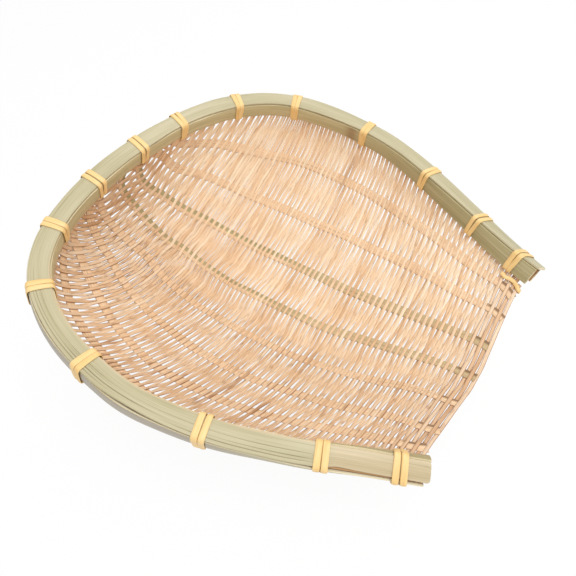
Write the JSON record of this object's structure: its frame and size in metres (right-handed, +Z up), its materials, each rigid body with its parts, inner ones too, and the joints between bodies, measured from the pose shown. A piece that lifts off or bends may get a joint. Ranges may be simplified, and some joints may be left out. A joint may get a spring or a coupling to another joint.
{
  "type": "bamboo scoop basket",
  "caption": "Horseshoe-shaped woven bamboo scoop basket with a deep back, an open mouth and a lashed split-bamboo rim.",
  "frame": {"origin": "on the ground, under the middle of the basket's outline", "axes": "+Z up, +Y towards the deep back, the mouth opens towards -Y, X across the basket"},
  "size_m": [0.414, 0.407, 0.168],
  "materials": {
    "rim_skin": "satin green-tan bamboo skin",
    "rim_skin_shaded": "satin olive bamboo skin",
    "rim_inside": "matte split bamboo",
    "weft": "matte split bamboo",
    "rib": "matte split bamboo",
    "rib_olive": "satin bamboo skin",
    "cane": "satin cane"
  },
  "bodies": {
    "root": {"rim_inner_lath": "rim_skin_shaded", "rim_outer_lath": "rim_skin", "rim_cap_lath": "rim_skin", "rim_core": "rim_inside", "weft_panel": "weft", "rib_01": "rib", "rib_02": "rib", "rib_03": "rib", "rib_04": "rib", "rib_05": "rib_olive", "rib_06": "rib_olive", "rib_07": "rib", "rib_08": "rib", "tie_01": "cane", "tie_02": "cane", "tie_03": "cane", "tie_04": "cane", "tie_05": "cane", "tie_06": "cane", "tie_07": "cane", "tie_08": "cane", "tie_09": "cane", "tie_10": "cane", "tie_11": "cane", "tie_12": "cane", "tie_13": "cane", "tie_14": "cane", "tie_15": "cane", "corner_lashing": "cane"}
  },
  "joints": []
}
